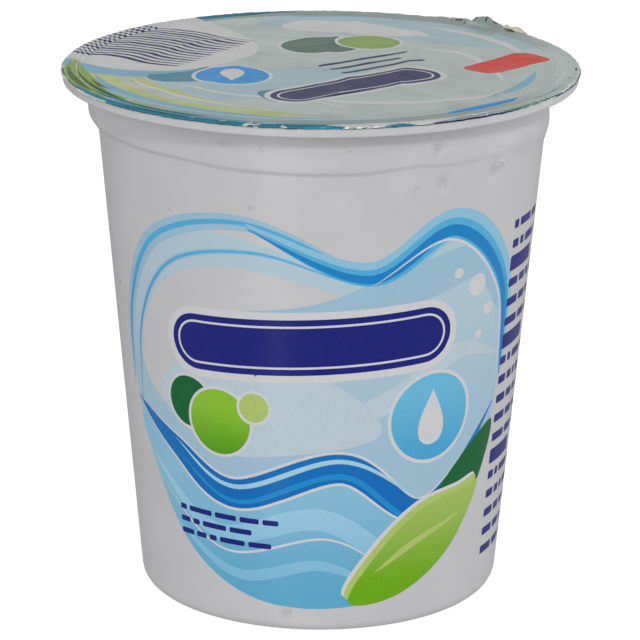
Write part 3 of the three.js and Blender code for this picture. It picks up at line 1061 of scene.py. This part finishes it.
def turned_corner():
    """The tab's near corner, which is folded back over the rim and shows the foil's underside."""
    points, faces = [], []
    fold_r = FOLD_ROWS[0][0]
    for i in range(FOLD_STEPS + 1):
        angle = math.radians(FOLD_START + FOLD_SPAN * i / FOLD_STEPS)
        swell = math.sin(math.pi * (i + 0.4) / (FOLD_STEPS + 0.8))
        for j, (radius, rise) in enumerate(FOLD_ROWS):
            crumple = 1 + 0.5 * noise.noise(Vector((i / 2.5, j / 2, 3.3)))
            lift = rise * (0.35 + 0.65 * swell) * crumple
            reach = fold_r - (fold_r - radius) * (0.5 + 0.5 * swell)
            points.append((reach * math.cos(angle), reach * math.sin(angle), POT_TOP + lift))
    across = len(FOLD_ROWS)
    for i in range(FOLD_STEPS):
        for a in range(across * i, across * (i + 1) - 1):
            faces.append((a, a + 1, a + across + 1, a + across))
    return points, faces


def foil_piece(materials):
    """The lid as a thin sheet with a printed face, a lacquered underside and a cut edge."""
    layers = [("foil_silver", foil_outline())] + lid_print()
    flat, triangles, covers = split_sheet(foil_grid(), [outline for _, outline in layers])
    kept = [(t, max(c)) for t, c in zip(triangles, covers) if 0 in c]
    used = sorted({i for t, _ in kept for i in t})
    number = {old: new for new, old in enumerate(used)}
    top = [foil_point(*flat[i]) for i in used]
    facing = [foil_normal(*flat[i]) for i in used]
    count = len(top)
    inks = ["foil_lacquer"] + sorted({ink for ink, _ in layers})
    upper = [tuple(number[i] for i in t) for t, _ in kept]
    lower = [tuple(i + count for i in reversed(t)) for t in upper]
    sides = set()
    for a, b, c in upper:
        sides |= {(a, b), (b, c), (c, a)}
    rim = [(b, a, a + count, b + count) for a, b in sorted(sides) if (b, a) not in sides]
    slots = [inks.index(layers[cover][0]) for _, cover in kept] + [0] * (len(lower) + len(rim))
    points = top + [p - n * FOIL_THICKNESS for p, n in zip(top, facing)]
    faces = upper + lower + rim
    corner_points, corner_faces = turned_corner()
    faces += [tuple(i + len(points) for i in face) for face in corner_faces]
    slots += [0] * len(corner_faces)
    return mesh_object("foil_lid_sheet", points + corner_points, faces, slots,
                       [materials[ink] for ink in inks])


# The foil, the lacquer under it and the inks on it
foil_materials = {
    "foil_bare": foil_ink("bare_aluminium_foil", "#e6e8ea", "#dcdee0", 1.0, 0.22),
    "foil_lacquer": flat_ink("heat_seal_lacquer", "#dcd8c8", "#d2cebd", 0.5),
    "foil_silver": foil_ink("grey_green_lacquered_foil", "#bcc7c3", "#b0beb9", 0.8),
    "foil_white": foil_ink("white_ink_on_foil", "#d3d4d3", "#cbcccc", 0.25),
    "foil_pale": foil_ink("pale_tint_on_foil", "#bcc8c4", "#b2c0bb", 0.6),
    "foil_ice": foil_ink("ice_blue_ink_on_foil", "#a9c4ca", "#9fbcc4", 0.5),
    "foil_sky": foil_ink("sky_blue_ink_on_foil", "#7fb4cc", "#72aac6", 0.4),
    "foil_badge": foil_ink("light_blue_ink_on_foil", "#1f8fd8", "#2f97da", 0.15),
    "foil_turquoise": foil_ink("turquoise_ink_on_foil", "#3a869f", "#2f819d", 0.45),
    "foil_navy": foil_ink("navy_ink_on_foil", "#191c58", "#202460", 0.06),
    "foil_green": foil_ink("green_ink_on_foil", "#7ba02c", "#8cab45", 0.4),
    "foil_meadow": foil_ink("deep_green_ink_on_foil", "#42680a", "#3a5e0c", 0.3),
    "foil_dark_green": foil_ink("dark_green_ink_on_foil", "#3c6654", "#46705e", 0.3),
    # Dark ink painted as shade: in the folds of the tab's crease, and along the lip's edge where the foil
    # turns down
    "foil_shadow": foil_ink("painted_shade_in_creases_and_on_lip", "#3c5552", "#354b49", 0.3),
    "foil_lime": foil_ink("lime_ink_on_foil", "#b3bf6a", "#c0c98c", 0.4),
    "foil_red": foil_ink("red_ink_on_foil", "#d82c20", "#d2362a", 0.15),
}
foil = foil_piece(foil_materials)
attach(foil, "root")
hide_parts("foil_lid")

# Camera, floor and lights

CAMERA_DISTANCE = 460.0
CAMERA_ELEVATION = math.radians(17.13)
LOOK_AT = Vector((0.06, 0.0, 35.66))
LENS = 191.7
ROLL = math.radians(0.29)
POT_MIDDLE = Vector((0, 0, 36))
FLOOR_REACH = 6000
# How bright the studio is at its ground, its walls and its ceiling, and what share is left behind the pot
GROUND_LEVEL = 0.44
WALL_LEVEL = 1.29
CEILING_LEVEL = 0.42
BACK_SHARE = 0.72
# A light strip, low at the front, in the directions where X is this share of Y, give or take
STRIP_PLACE = 0.445
STRIP_HALF_WIDTH = 0.045
STRIP_LEVEL = 9.0


def add_camera():
    """A long lens, a little above the lid."""
    aim = Vector((0, -math.cos(CAMERA_ELEVATION), math.sin(CAMERA_ELEVATION)))
    data = bpy.data.cameras.new("camera")
    data.lens = LENS
    data.sensor_width = 36.0
    camera = bpy.data.objects.new("camera", data)
    camera.location = (LOOK_AT + aim * CAMERA_DISTANCE) * MM
    camera.rotation_euler = (aim.to_track_quat("Z", "Y") @ Quaternion((0, 0, 1), ROLL)).to_euler()
    bpy.context.scene.collection.objects.link(camera)
    bpy.context.scene.camera = camera


def add_softbox(name, azimuth, elevation, distance, size, power):
    """A square area light that faces the pot. Azimuth 0 is the camera's side, and 90 is the right. Its
    distance and size are in metres."""
    turn, lift = math.radians(azimuth), math.radians(elevation)
    aim = Vector((math.sin(turn) * math.cos(lift), -math.cos(turn) * math.cos(lift), math.sin(lift)))
    data = bpy.data.lights.new(name, "AREA")
    data.size = size
    data.energy = power
    light = bpy.data.objects.new(name, data)
    light.location = POT_MIDDLE * MM + aim * distance
    light.rotation_euler = aim.to_track_quat("Z", "Y").to_euler()
    bpy.context.scene.collection.objects.link(light)


def add_floor():
    """A backlit sheet of white acrylic, as packs are photographed on, which keeps the ground pale."""
    mesh = bpy.data.meshes.new("floor")
    reach = FLOOR_REACH * MM
    corners = [(-reach, -reach, 0), (reach, -reach, 0), (reach, reach, 0), (-reach, reach, 0)]
    mesh.from_pydata(corners, [], [(0, 1, 2, 3)])
    settings = {"Base Color": linear("#b4b4b4"), "Roughness": 0.9}
    material, shader = new_material("backlit_white_acrylic", settings)
    shader.inputs["Emission Color"].default_value = (1, 1, 1, 1)
    shader.inputs["Emission Strength"].default_value = 0.8
    mesh.materials.append(material)
    floor = bpy.data.objects.new("floor", mesh)
    floor.visible_diffuse = False
    floor.visible_glossy = False
    bpy.context.scene.collection.objects.link(floor)


def low_strip(tree, axes):
    """The light strip's share, 1 inside it and 0 outside. Its reflection is the pale line down the wall."""
    ratio = add_node(tree, "ShaderNodeMath", {"operation": "DIVIDE"},
                     {0: axes.outputs["X"], 1: axes.outputs["Y"]})
    strip = add_node(tree, "ShaderNodeMath", {"operation": "COMPARE", 1: STRIP_PLACE, 2: STRIP_HALF_WIDTH},
                     {0: ratio.outputs["Value"]})
    higher = add_node(tree, "ShaderNodeMath", {"operation": "MAXIMUM"},
                      {0: axes.outputs["Y"], 1: axes.outputs["Z"]})
    low_front = add_node(tree, "ShaderNodeMath", {"operation": "LESS_THAN", 1: 0.0},
                         {0: higher.outputs["Value"]})
    return add_node(tree, "ShaderNodeMath", {"operation": "MULTIPLY"},
                    {0: strip.outputs["Value"], 1: low_front.outputs["Value"]})


def add_world():
    """A white studio: bright walls round the pot, a dimmer ceiling and ground, and a low light strip."""
    world = bpy.data.worlds.new("studio")
    world.use_nodes = True
    tree = world.node_tree
    place = add_node(tree, "ShaderNodeTexCoord")
    axes = add_node(tree, "ShaderNodeSeparateXYZ", None, {"Vector": place.outputs["Generated"]})
    ramp = add_node(tree, "ShaderNodeValToRGB", None, {"Fac": axes.outputs["Z"]})
    stops = ((0.0, GROUND_LEVEL), (0.02, WALL_LEVEL), (0.28, WALL_LEVEL), (0.65, CEILING_LEVEL))
    for i, (position, level) in enumerate(stops):
        stop = ramp.color_ramp.elements[i] if i < 2 else ramp.color_ramp.elements.new(position)
        stop.position = position
        stop.color = (level, level, level, 1)
    panels = add_node(tree, "ShaderNodeTexNoise", {"Scale": 2.2, "Detail": 1.0},
                      {"Vector": place.outputs["Generated"]})
    level = add_node(tree, "ShaderNodeMapRange",
                     {"From Min": 0.35, "From Max": 0.65, "To Min": 0.8, "To Max": 1.2},
                     {"Value": panels.outputs["Fac"]})
    depth = add_node(tree, "ShaderNodeMapRange",
                     {"From Min": 0.4, "From Max": 0.9, "To Min": 1.0, "To Max": BACK_SHARE},
                     {"Value": axes.outputs["Y"]})
    strength = add_node(tree, "ShaderNodeMath", {"operation": "MULTIPLY"},
                        {0: level.outputs["Result"], 1: depth.outputs["Result"]})
    total = add_node(tree, "ShaderNodeMath", {"operation": "MULTIPLY_ADD", 1: STRIP_LEVEL},
                     {0: low_strip(tree, axes).outputs["Value"], 2: strength.outputs["Value"]})
    tree.links.new(ramp.outputs["Color"], tree.nodes["Background"].inputs["Color"])
    tree.links.new(total.outputs["Value"], tree.nodes["Background"].inputs["Strength"])
    bpy.context.scene.world = world


add_camera()
add_floor()
add_world()
# A small light over the camera picks out the foil's creases, and a broad one fills the right side
add_softbox("main", 12, 31, 1.0, 0.09, 2.05)
add_softbox("side", 112, 4, 1.2, 0.5, 2.4)
bpy.context.scene.view_settings.view_transform = "Standard"
